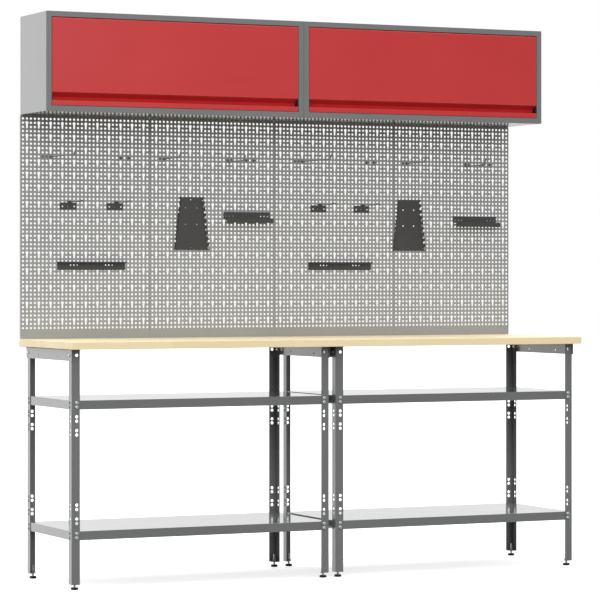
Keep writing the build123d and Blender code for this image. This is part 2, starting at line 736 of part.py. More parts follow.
def small_holder(x):
    """Short clip plate with a raised middle and a bent finger standing forwards."""
    low, high = SMALL_Z
    near, far, top = SMALL_RAISED
    piece = plate(x - SMALL_HALF_W, x + SMALL_HALF_W, low, high, SMALL_T)
    piece += plate(x + near, x + far, high, top, SMALL_T)
    for dx in SMALL_HOLES:
        piece -= drill(x + dx, SMALL_HOLE_Z, SCREW_HOLE_R)
    middle = x + (near + far) / 2
    path = [(middle, PANEL_FRONT - SMALL_T / 2 - reach, z) for reach, z in FINGER_PATH]
    return piece + bar(path, FINGER_R)


def small_holders():
    lefts = (-2 * PANEL_PITCH, 0)
    return group([small_holder(left + x) for left in lefts for x in SMALL_PLACES])


def long_rack(x):
    """Screwdriver rack: back plate with a perforated ledge and a short lip."""
    y = PANEL_FRONT
    low, high = RACK_Z
    x0, x1 = x - RACK_HALF_W, x + RACK_HALF_W
    piece = plate(x0, x1, low, high, RACK_T)
    piece += block(x0, x1, y - RACK_LEDGE, y, high - RACK_T, high)
    piece += block(x0, x1, y - RACK_LEDGE, y - RACK_LEDGE + RACK_T, high - RACK_LIP, high)
    for k in range(RACK_HOLES):
        hx = x + (k - (RACK_HOLES - 1) / 2) * RACK_PITCH
        piece -= Pos(hx, y - RACK_LEDGE / 2, high) * Cylinder(RACK_HOLE_R, 3 * RACK_T)
    for dx in RACK_SCREWS:
        piece -= drill(x + dx, RACK_SCREW_Z, SCREW_HOLE_R)
    return piece


def long_racks():
    return group([long_rack(left + RACK_PLACE) for left in (-2 * PANEL_PITCH, 0)])


def spanner_holder(x):
    """Tapered plate on two bosses, with a notched flange along each slanted edge."""
    low, high = SPANNER_Z
    front = PANEL_FRONT - SPANNER_STAND
    corners = [(x - SPANNER_TOP_HALF, high), (x + SPANNER_TOP_HALF, high),
               (x + SPANNER_LOW_HALF, low), (x - SPANNER_LOW_HALF, low)]
    outline = make_face(Polyline(*corners, corners[0]))
    piece = Pos(0, front, 0) * extrude(Plane.XZ * outline, SPANNER_T)
    for sx in (-1, 1):
        piece += spanner_flange(x, sx, front - SPANNER_T)
    for dx, z in SPANNER_HOLES:
        piece -= drill(x + dx, z, SCREW_HOLE_R)
    for z in SPANNER_BOSSES:
        piece += rod((x, front, z), (x, PANEL_FRONT, z), SPANNER_BOSS_R)
    return piece


def spanner_flange(x, sx, y):
    """One flange, its root along the plate's slanted edge, with slanting open notches."""
    low, high = SPANNER_Z
    top = Vector(x + sx * SPANNER_TOP_HALF, y, high)
    down = Vector(x + sx * SPANNER_LOW_HALF, y, low) - top
    out = Vector(sx * FLANGE_OUT, -FLANGE_FORWARD, 0)
    inside = out.normalized() * -SPANNER_T
    corners = [top + inside, top + down + inside, top + down + out, top + out]
    thickness = down.cross(out).normalized() * SPANNER_T
    if thickness.Y < 0:
        thickness = -thickness
    face = Face(Wire.make_polygon(corners, close=True))
    flange = extrude(face, SPANNER_T, dir=thickness.normalized())
    tilt = radians(NOTCH_TILT)
    along = out.normalized() * cos(tilt) - down.normalized() * sin(tilt)
    for k in range(NOTCHES):
        middle = top + down * ((k + NOTCH_START) / NOTCHES) + out
        place = Plane(origin=middle, x_dir=along, z_dir=thickness.normalized())
        flange -= place * Box(2 * FLANGE_FORWARD, NOTCH_W, 8 * SPANNER_T)
    return flange


def spanner_holders():
    places = [(i - 2) * PANEL_PITCH + x for i, x in SPANNER_PLACES.items()]
    return group([spanner_holder(x) for x in places])


def tool_ledge(x, up):
    """Ledge for small tools: back plate, shelf along its lower edge, hanging front lip."""
    y = PANEL_FRONT
    low, high = LEDGE_Z[0] + up, LEDGE_Z[1] + up
    x0, x1 = x - LEDGE_HALF_W, x + LEDGE_HALF_W
    piece = plate(x0, x1, low, high, LEDGE_T)
    piece += block(x0, x1, y - LEDGE_D, y, low, low + LEDGE_T)
    piece += block(x0, x1, y - LEDGE_D, y - LEDGE_D + LEDGE_T, low - LEDGE_LIP, low + LEDGE_T)
    for dx in LEDGE_SCREWS:
        piece -= drill(x + dx, LEDGE_SCREW_Z + up, SCREW_HOLE_R)
    return piece


def tool_ledges():
    return group([tool_ledge((i - 2) * PANEL_PITCH + x, up) for i, (x, up) in LEDGE_PLACES.items()])


# ---------------------------------------------------------------- build
def build_benches():
    for name, cx in bench_centres.items():
        save(worktop(cx), f"worktop_{name}")
        for sx, across in ((-1, "left"), (1, "right")):
            save(apron(sx, cx), f"apron_{name}_{across}")
            for sy, depth in ((-1, "front"), (1, "back")):
                save(leg(sx, sy, cx), f"leg_{name}_{depth}_{across}")
                save(foot(*foot_place(sx, sy, cx)), f"foot_{name}_{depth}_{across}")
        for level, z in SHELF_TOPS.items():
            save(shelf(z, cx), f"shelf_{name}_{level}")
        save(shelf_lips(cx), f"shelf_lips_{name}")
    save(shelf_bolts(), "shelf_bolts")
    save(apron_bolts(), "apron_bolts")
    save(worktop_screws(), "worktop_screws")
    save(foot_inserts(), "foot_inserts")


def build_panels():
    one = panel()
    for i in range(4):
        save(Pos((i - 2) * PANEL_PITCH, PANEL_FRONT, 0) * one, f"wall_panel_{i + 1}")
    save(hooks(), "tool_hooks")
    save(small_holders(), "small_holders")
    save(long_racks(), "long_racks")
    save(spanner_holders(), "spanner_holders")
    save(tool_ledges(), "tool_ledges")


def build_cabinets():
    for name, cx in cabinet_centres.items():
        save(casing(cx), f"cabinet_{name}_casing")
        save(cabinet_back(cx), f"cabinet_{name}_back")
        save(door(cx), f"cabinet_{name}_door")
        save(door_caps(cx), f"cabinet_{name}_door_caps")
        save(hinge_pins(cx), f"cabinet_{name}_hinge_pins")
        save(strut_tubes(cx), f"cabinet_{name}_strut_tubes")
        save(strut_rods(cx), f"cabinet_{name}_strut_rods")
        save(case_brackets(cx), f"cabinet_{name}_case_brackets")
        save(door_brackets(cx), f"cabinet_{name}_door_brackets")


os.makedirs("parts", exist_ok=True)
build_benches()
build_panels()
build_cabinets()
y_axis, z_axis = hinge_axis()
print("door hinge axis: y", round(y_axis, 3), "z", round(z_axis, 3))
print("strut pivots (door), (casing):", strut_points())
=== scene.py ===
# %% [markdown]
# # A twin workbench with tool panels and wall cabinets
# Two steel benches stand side by side, with wood tops and open shelves. Above them are
# four perforated panels with hooks and holders, and two cabinets with flip-up doors.
# The engineering model is loaded first and stays where it is. Each later step gives one
# of its parts a finish, or stands a more detailed piece in its place.

# %% Load the engineering model
import json
import math

import bpy
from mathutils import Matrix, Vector


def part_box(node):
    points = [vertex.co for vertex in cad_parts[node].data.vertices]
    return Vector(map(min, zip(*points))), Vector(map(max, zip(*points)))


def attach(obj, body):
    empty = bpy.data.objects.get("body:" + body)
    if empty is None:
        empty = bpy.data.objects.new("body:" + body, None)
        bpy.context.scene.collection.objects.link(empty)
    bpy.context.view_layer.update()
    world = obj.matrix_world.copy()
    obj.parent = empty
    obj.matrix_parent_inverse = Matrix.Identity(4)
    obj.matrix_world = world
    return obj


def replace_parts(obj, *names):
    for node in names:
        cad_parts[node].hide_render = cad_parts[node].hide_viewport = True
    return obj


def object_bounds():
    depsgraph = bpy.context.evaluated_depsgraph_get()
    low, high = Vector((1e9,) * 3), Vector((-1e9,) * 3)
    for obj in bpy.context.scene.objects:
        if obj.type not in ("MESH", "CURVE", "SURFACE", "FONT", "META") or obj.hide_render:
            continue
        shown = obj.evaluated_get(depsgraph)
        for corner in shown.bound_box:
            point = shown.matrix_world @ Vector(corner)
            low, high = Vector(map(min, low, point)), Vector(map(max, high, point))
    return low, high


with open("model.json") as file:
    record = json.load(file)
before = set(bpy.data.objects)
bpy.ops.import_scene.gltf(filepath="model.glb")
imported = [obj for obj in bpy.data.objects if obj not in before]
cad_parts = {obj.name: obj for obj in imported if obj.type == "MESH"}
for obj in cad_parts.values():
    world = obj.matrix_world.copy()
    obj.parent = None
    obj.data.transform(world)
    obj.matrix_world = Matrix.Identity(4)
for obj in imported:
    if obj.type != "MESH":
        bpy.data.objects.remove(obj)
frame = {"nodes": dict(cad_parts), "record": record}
cad_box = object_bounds()
nodes = frame["nodes"]
mm = 0.001

# %% [markdown]
# ## Helpers for shader nodes
# A finish here is a small network of nodes. These helpers add one node, wire its inputs,
# and start a material with its shader, so that each finish below reads as a short recipe.


# %% Shader helpers
def add(tree, kind, inputs=None, **settings):
    """One node in a tree: settings are its properties, inputs are values or other sockets."""
    made = tree.nodes.new(kind)
    for key, value in settings.items():
        setattr(made, key, value)
    for key, value in (inputs or {}).items():
        if isinstance(value, bpy.types.NodeSocket):
            tree.links.new(value, made.inputs[key])
        else:
            made.inputs[key].default_value = value
    return made


def start_material(name, **shader_values):
    """An empty material with one Principled shader; returns the material, tree and shader."""
    material = bpy.data.materials.new(name)
    material.use_nodes = True
    tree = material.node_tree
    tree.nodes.clear()
    shader = add(tree, "ShaderNodeBsdfPrincipled", shader_values)
    output = add(tree, "ShaderNodeOutputMaterial")
    tree.links.new(shader.outputs["BSDF"], output.inputs["Surface"])
    return material, tree, shader


def pattern_space(tree, scale=(1, 1, 1)):
    """The piece's own coordinates in metres, stretched by scale."""
    place = add(tree, "ShaderNodeTexCoord")
    mapping = add(tree, "ShaderNodeMapping", {"Vector": place.outputs["Object"], "Scale": scale})
    return mapping.outputs["Vector"]


def noise(tree, space, scale, detail=3.0, roughness=0.55):
    """A noise value between 0 and 1."""
    made = add(tree, "ShaderNodeTexNoise",
               {"Vector": space, "Scale": scale, "Detail": detail, "Roughness": roughness})
    return made.outputs["Fac"]


def remap(tree, value, low, high, to_low, to_high):
    """Stretch a value from one range to another, held inside the new range."""
    made = add(tree, "ShaderNodeMapRange", {
        "Value": value, "From Min": low, "From Max": high, "To Min": to_low, "To Max": to_high})
    return made.outputs["Result"]


def blend_colours(tree, factor, first, second):
    """Mix two colours by a factor."""
    made = add(tree, "ShaderNodeMix", data_type="RGBA", blend_type="MIX")
    for socket, value in ((0, factor), (6, first), (7, second)):
        if isinstance(value, bpy.types.NodeSocket):
            tree.links.new(value, made.inputs[socket])
        else:
            made.inputs[socket].default_value = value
    return made.outputs[2]


def bump(tree, height, strength, distance):
    """A bump from a height value; distance is in metres."""
    made = add(tree, "ShaderNodeBump",
               {"Height": height, "Strength": strength, "Distance": distance})
    return made.outputs["Normal"]


# %% [markdown]
# ## Powder coat
# Every steel sheet of the benches, panels and cabinets is powder coated. The coat is a
# smooth, glossy plastic skin: it mirrors what is in front of it at a low angle, has a very
# fine orange-peel ripple, and varies a little in tone where it is thicker or dusty. One
# recipe makes every coat, and a noise's scale is about how many of its blobs fit in a metre.


# %% Powder coat scales
blotches_per_metre = 2.3
specks_per_metre = 900.0
ripples_per_metre = 320.0
rub_stretch = (3.0, 40.0, 40.0)
ripple_height = 0.1 * mm
speck_grey = (0.5, 0.5, 0.5, 1)
lacquer_roughness = 0.06
print("orange peel about every", round(1000 / ripples_per_metre, 1), "mm")


# %% Powder coat recipe
def powder_coat(name, colour, shade, gloss, peel=0.1, lacquer=0.35):
    """Painted steel: soft blotches from colour to shade, fine ripple, faint rub marks.

    gloss is the roughness, so a smaller one is shinier.
    """
    material, tree, shader = start_material(name, **{
        "IOR": 1.5, "Coat Weight": lacquer, "Coat Roughness": lacquer_roughness})
    space = pattern_space(tree)
    cloud = remap(tree, noise(tree, space, blotches_per_metre, 4.0), 0.35, 0.7, 0.0, 1.0)
    tone = blend_colours(tree, cloud, (*colour, 1), (*shade, 1))
    speck = remap(tree, noise(tree, space, specks_per_metre, 1.0), 0.7, 0.75, 0.0, 0.05)
    tone = blend_colours(tree, speck, tone, speck_grey)
    tree.links.new(tone, shader.inputs["Base Color"])
    rubbed = noise(tree, pattern_space(tree, rub_stretch), 1.6, 5.0, 0.65)
    rough = remap(tree, rubbed, 0.3, 0.75, gloss - 0.03, gloss + 0.06)
    tree.links.new(rough, shader.inputs["Roughness"])
    ripple = noise(tree, space, ripples_per_metre, 1.0)
    tree.links.new(bump(tree, ripple, peel, ripple_height), shader.inputs["Normal"])
    return material


# %% The eight coats
frame_grey = powder_coat(
    "frame_grey_coat", (0.15, 0.154, 0.155), (0.165, 0.169, 0.17), gloss=0.2)
shelf_grey = powder_coat(
    "shelf_grey_coat", (0.145, 0.15, 0.152), (0.16, 0.165, 0.167), gloss=0.13, peel=0.04)
panel_grey = powder_coat(
    "panel_grey_coat", (0.285, 0.289, 0.288), (0.305, 0.309, 0.308), gloss=0.34)
cabinet_grey = powder_coat(
    "cabinet_grey_coat", (0.17, 0.174, 0.174), (0.185, 0.189, 0.189), gloss=0.22)
door_red = powder_coat(
    "door_red_coat", (0.54, 0.022, 0.024), (0.57, 0.027, 0.028), gloss=0.34, lacquer=0.12)
hook_grey = powder_coat(
    "hook_grey_coat", (0.13, 0.132, 0.13), (0.15, 0.152, 0.15), gloss=0.3)
holder_black = powder_coat(
    "holder_black_coat", (0.034, 0.034, 0.033), (0.042, 0.042, 0.041), gloss=0.42)
strut_black = powder_coat(
    "strut_black_coat", (0.012, 0.012, 0.012), (0.018, 0.018, 0.018), gloss=0.2)
print("powder coats:", sum(m.name.endswith("_coat") for m in bpy.data.materials))

# %% [markdown]
# ## Beech
# The tops are boards glued from staves of beech, sealed with clear lacquer. Beech is pale
# and even: each stave has its own slight tone, long soft grain, and thousands of short
# dark flecks. A brick pattern deals out the staves, and stretched noise draws the grain.


# %% Beech sizes
stave_length = 460 * mm
stave_width = 48 * mm
glue_line = 0.35 * mm
grain_height = 0.3 * mm
drift_stretch = (2.2, 14.0, 14.0)
grain_stretch = (7.0, 260.0, 260.0)
fleck_stretch = (210.0, 2100.0, 2100.0)
pale_stave, warm_stave = (0.91, 0.77, 0.48, 1), (0.86, 0.72, 0.43, 1)
glue_tone, drift_tone = (0.74, 0.59, 0.34, 1), (0.93, 0.78, 0.53, 1)
grain_tone, fleck_tone = (0.66, 0.47, 0.25, 1), (0.42, 0.26, 0.13, 1)
top_low, top_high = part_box("worktop_left")
print("staves across one top:", round((top_high.y - top_low.y) / stave_width, 1))


# %% Beech recipe
def beech(name):
    """Lacquered, edge-glued beech with its grain along X."""
    material, tree, shader = start_material(name, **{"IOR": 1.45, "Specular IOR Level": 0.25})
    space = pattern_space(tree)
    staves = add(tree, "ShaderNodeTexBrick", {
        "Vector": space, "Color1": warm_stave, "Color2": pale_stave, "Mortar": glue_tone,
        "Scale": 1.0, "Mortar Size": glue_line, "Mortar Smooth": 0.2, "Bias": -0.1,
        "Brick Width": stave_length, "Row Height": stave_width},
        offset=0.37, offset_frequency=2, squash=1.0)
    drift = noise(tree, pattern_space(tree, drift_stretch), 1.0, 3.0)
    tone = blend_colours(tree, remap(tree, drift, 0.35, 0.68, 0.0, 0.55),
                         staves.outputs["Color"], drift_tone)
    grain = noise(tree, pattern_space(tree, grain_stretch), 1.0, 4.0, 0.7)
    tone = blend_colours(tree, remap(tree, grain, 0.52, 0.74, 0.0, 0.28), tone, grain_tone)
    fleck = noise(tree, pattern_space(tree, fleck_stretch), 1.0, 1.0)
    tone = blend_colours(tree, remap(tree, fleck, 0.68, 0.76, 0.0, 0.35), tone, fleck_tone)
    tree.links.new(tone, shader.inputs["Base Color"])
    rough = remap(tree, grain, 0.3, 0.75, 0.36, 0.46)
    tree.links.new(rough, shader.inputs["Roughness"])
    tree.links.new(bump(tree, grain, 0.1, grain_height), shader.inputs["Normal"])
    return material


wood = beech("beech_lacquered")
print("wood:", wood.name)

# %% [markdown]
# ## Small metals and plastics
# Bolts, studs, strut brackets and hinge pins are zinc plated: bright, a little blue, with
# fine brushing. The feet's discs and the plugs at the ends of the doors' grips are moulded
# black plastic with a fine grained skin, and the piston rods of the gas struts are hard
# chrome.


# %% Metal and plastic scales
clouds_per_metre = 60.0
brush_stretch = (90.0, 90.0, 1400.0)
brush_height = 0.1 * mm
scuffs_per_metre = 75.0
grains_per_metre = 1300.0
skin_height = 0.2 * mm
print("moulded grain about every", round(1000 / grains_per_metre, 2), "mm")


# %% Metal and plastic recipes
def plated(name, colour, roughness, tint):
    """Plated steel with fine brushing and cloudy tone."""
    material, tree, shader = start_material(name, Metallic=1.0)
    space = pattern_space(tree)
    cloud = noise(tree, space, clouds_per_metre, 3.0)
    tone = blend_colours(tree, cloud, (*colour, 1), (*tint, 1))
    tree.links.new(tone, shader.inputs["Base Color"])
    brushed = noise(tree, pattern_space(tree, brush_stretch), 1.0, 2.0)
    rough = remap(tree, brushed, 0.3, 0.7, roughness - 0.06, roughness + 0.08)
    tree.links.new(rough, shader.inputs["Roughness"])
    tree.links.new(bump(tree, brushed, 0.08, brush_height), shader.inputs["Normal"])
    return material


def moulded(name, colour, worn, roughness):
    """Moulded plastic with a fine grained skin and paler scuffs."""
    material, tree, shader = start_material(name, IOR=1.47)
    space = pattern_space(tree)
    scuffs = remap(tree, noise(tree, space, scuffs_per_metre, 5.0, 0.7), 0.55, 0.8, 0.0, 0.5)
    tone = blend_colours(tree, scuffs, (*colour, 1), (*worn, 1))
    tree.links.new(tone, shader.inputs["Base Color"])
    skin = noise(tree, space, grains_per_metre, 2.0)
    rough = remap(tree, skin, 0.3, 0.7, roughness - 0.05, roughness + 0.1)
    tree.links.new(rough, shader.inputs["Roughness"])
    tree.links.new(bump(tree, skin, 0.2, skin_height), shader.inputs["Normal"])
    return material


zinc = plated("zinc_plate", (0.62, 0.63, 0.65), 0.3, (0.7, 0.71, 0.72))
chrome = plated("hard_chrome", (0.8, 0.81, 0.82), 0.1, (0.86, 0.86, 0.87))
foot_black = moulded("foot_plastic", (0.005, 0.005, 0.005), (0.014, 0.014, 0.014), 0.55)
cap_black = moulded("plug_plastic", (0.01, 0.01, 0.01), (0.02, 0.02, 0.02), 0.45)
print("small finishes:", zinc.name, chrome.name, foot_black.name, cap_black.name)

# %% [markdown]
# ## Give every part its finish
# The record says which finish each part carries. The engineering parts keep their shapes,
# so all that changes here is the material in their slots.

# %% Assign finishes by slot
finishes = {
    "wood": wood, "frame_grey": frame_grey, "shelf_grey": shelf_grey,
    "panel_grey": panel_grey, "cabinet_grey": cabinet_grey, "door_red": door_red,
    "foot_black": foot_black, "cap_black": cap_black, "zinc": zinc, "hook_grey": hook_grey,
    "holder_black": holder_black, "strut_black": strut_black, "strut_chrome": chrome,
}
for part in frame["record"]["subparts"]:
    thing = nodes[part["node"]]
    if not thing.material_slots:
        thing.data.materials.append(finishes[part["material_slot"]])
    for place in thing.material_slots:
        place.material = finishes[part["material_slot"]]

# %% [markdown]
# ## Helpers for Geometry Nodes
# Perforations, threads and the like follow a rule, so a node tree makes them. A tree is
# built once, with named inputs. A piece is made by setting those inputs, evaluating the
# tree, and keeping the result as a plain mesh.


# %% Geometry Nodes helpers
def new_tree(name, inputs):
    """A geometry tree with named inputs, given as name: (socket kind, default)."""
    tree = bpy.data.node_groups.new(name, "GeometryNodeTree")
    tree.interface.new_socket("Geometry", in_out="OUTPUT", socket_type="NodeSocketGeometry")
    for key, (kind, default) in inputs.items():
        socket = tree.interface.new_socket(key, in_out="INPUT", socket_type="NodeSocket" + kind)
        if default is not None:
            socket.default_value = default
    entry = add(tree, "NodeGroupInput")
    return tree, entry.outputs


def finish_tree(tree, geometry, material):
    """End a tree: realise instances, set the material, send the result out."""
    real = add(tree, "GeometryNodeRealizeInstances", {"Geometry": geometry})
    coated = add(tree, "GeometryNodeSetMaterial",
                 {"Geometry": real.outputs[0], "Material": material})
    add(tree, "NodeGroupOutput", {"Geometry": coated.outputs[0]})


def grow(name, tree, values):
    """Run a tree with these input values and keep the result as a plain mesh object."""
    mesh = bpy.data.meshes.new(name + "_seed")
    carrier = bpy.data.objects.new(name + "_seed", mesh)
    bpy.context.scene.collection.objects.link(carrier)
    modifier = carrier.modifiers.new("grow", "NODES")
    modifier.node_group = tree
    for item in tree.interface.items_tree:
        if item.in_out == "INPUT" and item.name in values:
            modifier[item.identifier] = values[item.name]
    graph = bpy.context.evaluated_depsgraph_get()
    result = bpy.data.meshes.new_from_object(carrier.evaluated_get(graph))
    carrier.modifiers.remove(modifier)
    bpy.data.objects.remove(carrier)
    result.name = name
    piece = bpy.data.objects.new(name, result)
    bpy.context.scene.collection.objects.link(piece)
    return piece


def calc(tree, operation, first, second):
    """A number worked out inside a tree."""
    return add(tree, "ShaderNodeMath", {0: first, 1: second}, operation=operation).outputs[0]


def vector(tree, x=0.0, y=0.0, z=0.0):
    """A vector from three numbers or sockets."""
    return add(tree, "ShaderNodeCombineXYZ", {0: x, 1: y, 2: z}).outputs[0]


def shift(tree, geometry, offset):
    """Move geometry by a vector."""
    moved = add(tree, "GeometryNodeTransform", {"Geometry": geometry, "Translation": offset})
    return moved.outputs[0]


def join(tree, *parts):
    """Join several geometries."""
    made = add(tree, "GeometryNodeJoinGeometry")
    for part in parts:
        tree.links.new(part, made.inputs[0])
    return made.outputs[0]


# %% [markdown]
# ## Perforated panels
# Each panel is one steel sheet with a folded rim. Round holes fill a 15 mm grid. Every third
# column has keyholes: in the upper part one every third row, lower down one every fourth
# row, and each takes the place of two round holes. Punching each hole with a boolean would
# be slow and untidy. So a tree lays points on the grid, takes away those that a keyhole
# covers, sets outlines on the points, fills the sheet around them, and gives it thickness.

# %% Panel sizes
pitch = 15 * mm
panel_low, panel_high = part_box("wall_panel_1")
panel_width = panel_high.x - panel_low.x
panel_height = panel_high.z - panel_low.z
panel_depth = panel_high.y - panel_low.y
columns, rows = 33, 51
side_margin = (panel_width - (columns - 1) * pitch) / 2
top_margin = 13 * mm
key_columns, column_gap = 11, 3
upper_rows, upper_gap = 6, 3
lower_rows, lower_gap = 8, 4
rows_down_to_lower = 19
print("panel", [round(v, 4) for v in (panel_width, panel_height, panel_depth)])


# %% Keyhole outline
def closed_outline(name, points):
    """A closed flat curve through (x, y) points, for a tree to use."""
    curve = bpy.data.curves.new(name, "CURVE")
    spline = curve.splines.new("POLY")
    spline.points.add(len(points) - 1)
    for point, (x, y) in zip(spline.points, points):
        point.co = (x, y, 0, 1)
    spline.use_cyclic_u = True
    return bpy.data.objects.new(name, curve)


def keyhole_points(head=5.7 * mm, half_slot=3.3 * mm, drop=17 * mm, head_steps=10, end_steps=6):
    """Round head, straight slot, round end; the head's centre is the origin."""
    start = math.asin(half_slot / head)
    points = []
    for step in range(head_steps + 1):
        angle = math.pi / 2 * 3 - start - (2 * math.pi - 2 * start) * step / head_steps
        points.append((head * math.cos(angle), head * math.sin(angle)))
    for step in range(end_steps + 1):
        angle = -math.pi * step / end_steps
        points.append((half_slot * math.cos(angle), -drop + half_slot * math.sin(angle)))
    return points


keyhole = closed_outline("keyhole_outline", keyhole_points())
print("keyhole points:", len(keyhole.data.splines[0].points))


# %% Outlines and plates in a tree
def rounded_outline(tree, width, height, radius):
    """A rectangle with rounded corners, its lower left corner at the origin."""
    plain = add(tree, "GeometryNodeCurvePrimitiveQuadrilateral",
                {"Width": width, "Height": height})
    rounded = add(tree, "GeometryNodeFilletCurve",
                  {"Curve": plain.outputs[0], "Radius": radius, "Count": 5}, mode="POLY")
    half_w = calc(tree, "MULTIPLY", width, 0.5)
    half_h = calc(tree, "MULTIPLY", height, 0.5)
    return shift(tree, rounded.outputs[0], vector(tree, half_w, half_h))


def plate_from(tree, outlines, thickness):
    """Fill between outlines and give the sheet thickness along +Z."""
    flat = add(tree, "GeometryNodeFillCurve", {"Curve": outlines}, mode="TRIANGLES").outputs[0]
    lifted = add(tree, "GeometryNodeExtrudeMesh", {
        "Mesh": flat, "Offset": vector(tree, 0, 0, 1), "Offset Scale": thickness,
        "Individual": False}, mode="FACES").outputs[0]
    back = add(tree, "GeometryNodeFlipFaces", {"Mesh": flat}).outputs[0]
    whole = join(tree, lifted, back)
    return add(tree, "GeometryNodeMergeByDistance",
               {"Geometry": whole, "Distance": 0.001 * mm}).outputs[0]


# %% Hole positions in a tree
def grid_points(tree, column_count, row_count, step_x, step_y, first):
    """A grid of points that starts at first and runs right and down."""
    size_x = calc(tree, "MULTIPLY", calc(tree, "SUBTRACT", column_count, 1.0), step_x)
    size_y = calc(tree, "MULTIPLY", calc(tree, "SUBTRACT", row_count, 1.0), step_y)
    grid = add(tree, "GeometryNodeMeshGrid", {
        "Size X": size_x, "Size Y": size_y,
        "Vertices X": column_count, "Vertices Y": row_count}).outputs[0]
    half_x = calc(tree, "MULTIPLY", size_x, 0.5)
    half_y = calc(tree, "MULTIPLY", size_y, -0.5)
    return shift(tree, shift(tree, grid, vector(tree, half_x, half_y)), first)


def steps_down(tree, step, count):
    """A move of count grid steps down the sheet."""
    return vector(tree, 0, calc(tree, "MULTIPLY", step, -float(count)))


def hole_points(tree, given):
    """Where the round holes and the keyholes go; a keyhole takes away two round holes."""
    step = given["Pitch"]
    all_holes = grid_points(tree, given["Columns"], given["Rows"], step, step, given["First Hole"])
    one_in = vector(tree, step, calc(tree, "MULTIPLY", step, -1.0))
    first_key = add(tree, "ShaderNodeVectorMath", {0: given["First Hole"], 1: one_in}).outputs[0]
    low_key = add(tree, "ShaderNodeVectorMath", {
        0: first_key, 1: steps_down(tree, step, rows_down_to_lower)}).outputs[0]
    across = calc(tree, "MULTIPLY", step, float(column_gap))
    upper = grid_points(tree, key_columns, upper_rows, across,
                        calc(tree, "MULTIPLY", step, float(upper_gap)), first_key)
    lower = grid_points(tree, key_columns, lower_rows, across,
                        calc(tree, "MULTIPLY", step, float(lower_gap)), low_key)
    key_points = join(tree, upper, lower)
    tails = shift(tree, key_points, steps_down(tree, step, 1))
    near = add(tree, "GeometryNodeProximity", {"Target": join(tree, key_points, tails)},
               target_element="POINTS").outputs["Distance"]
    taken = add(tree, "FunctionNodeCompare", {
        0: near, 1: calc(tree, "MULTIPLY", step, 0.5)}, operation="LESS_THAN").outputs[0]
    free = add(tree, "GeometryNodeDeleteGeometry", {"Geometry": all_holes, "Selection": taken},
               domain="POINT").outputs[0]
    return free, key_points


# %% Panel tree
def panel_tree():
    """A perforated sheet with a rim, stood upright with its lower left corner at Place."""
    tree, given = new_tree("perforated_panel", {
        "Width": ("Float", 0.5), "Height": ("Float", 0.8), "Rim Depth": ("Float", 0.008),
        "Sheet": ("Float", 0.0012), "Corner": ("Float", 0.004), "Pitch": ("Float", 0.015),
        "Columns": ("Int", 33), "Rows": ("Int", 51), "Hole Radius": ("Float", 0.0042),
        "First Hole": ("Vector", (0, 0, 0)), "Keyhole": ("Object", None),
        "Place": ("Vector", (0, 0, 0))})
    free, key_points = hole_points(tree, given)
    ring = add(tree, "GeometryNodeCurvePrimitiveCircle",
               {"Resolution": 12, "Radius": given["Hole Radius"]}).outputs[0]
    round_holes = add(tree, "GeometryNodeInstanceOnPoints", {"Points": free, "Instance": ring})
    key_info = add(tree, "GeometryNodeObjectInfo", {"Object": given["Keyhole"]})
    key_holes = add(tree, "GeometryNodeInstanceOnPoints",
                    {"Points": key_points, "Instance": key_info.outputs["Geometry"]})
    outer = rounded_outline(tree, given["Width"], given["Height"], given["Corner"])
    both_walls = calc(tree, "MULTIPLY", given["Sheet"], 2.0)
    inner = rounded_outline(tree, calc(tree, "SUBTRACT", given["Width"], both_walls),
                            calc(tree, "SUBTRACT", given["Height"], both_walls),
                            calc(tree, "SUBTRACT", given["Corner"], given["Sheet"]))
    inner = shift(tree, inner, vector(tree, given["Sheet"], given["Sheet"]))
    cut = add(tree, "GeometryNodeRealizeInstances",
              {"Geometry": join(tree, inner, round_holes.outputs[0], key_holes.outputs[0])})
    sheet = plate_from(tree, cut.outputs[0], given["Sheet"])
    setback = calc(tree, "SUBTRACT", given["Rim Depth"], given["Sheet"])
    sheet = shift(tree, sheet, vector(tree, 0, 0, setback))
    rim = plate_from(tree, join(tree, outer, inner), given["Rim Depth"])
    stood = add(tree, "GeometryNodeTransform", {
        "Geometry": join(tree, sheet, rim), "Rotation": (math.pi / 2, 0, 0),
        "Translation": given["Place"]}).outputs[0]
    finish_tree(tree, stood, panel_grey)
    return tree


perforated = panel_tree()

# %% Make the four panels
for number in range(1, 5):
    node_name = f"wall_panel_{number}"
    low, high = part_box(node_name)
    sheet = grow(f"perforated_sheet_{number}", perforated, {
        "Width": panel_width, "Height": panel_height, "Rim Depth": panel_depth,
        "Pitch": pitch, "Columns": columns, "Rows": rows,
        "First Hole": (side_margin, panel_height - top_margin, 0),
        "Keyhole": keyhole, "Place": (low.x, high.y, low.z)})
    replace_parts(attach(sheet, "bench_and_wall"), node_name)
    print(sheet.name, "triangles", sum(len(p.vertices) - 2 for p in sheet.data.polygons))
bpy.data.objects.remove(keyhole)

# %% [markdown]
# ## Levelling feet
# Under each leg is a black moulded disc on a zinc-plated stud, which screws up into the
# leg. The engineering foot is one plain shape, so two pieces stand in its place here. The
# disc is turned: a short profile goes round the stud's axis. The stud is a bar with a real
# thread, and a thread follows a rule, so Geometry Nodes sweep a small ridge along a helix.

# %% Foot sizes
pad_radius = 12.85 * mm
pad_height = 8.4 * mm
pad_round = 3.4 * mm
stud_radius = 4.0 * mm
thread_depth = 0.6 * mm
thread_pitch = 1.25 * mm
dish_depth = 0.8 * mm
dish_edge, dish_floor = 1.5 * mm, 0.5 * mm
disc_sides = 48
edge_steps = 5
print("disc", round(2 * pad_radius / mm, 1), "mm wide,", round(pad_height / mm, 1), "mm thick")


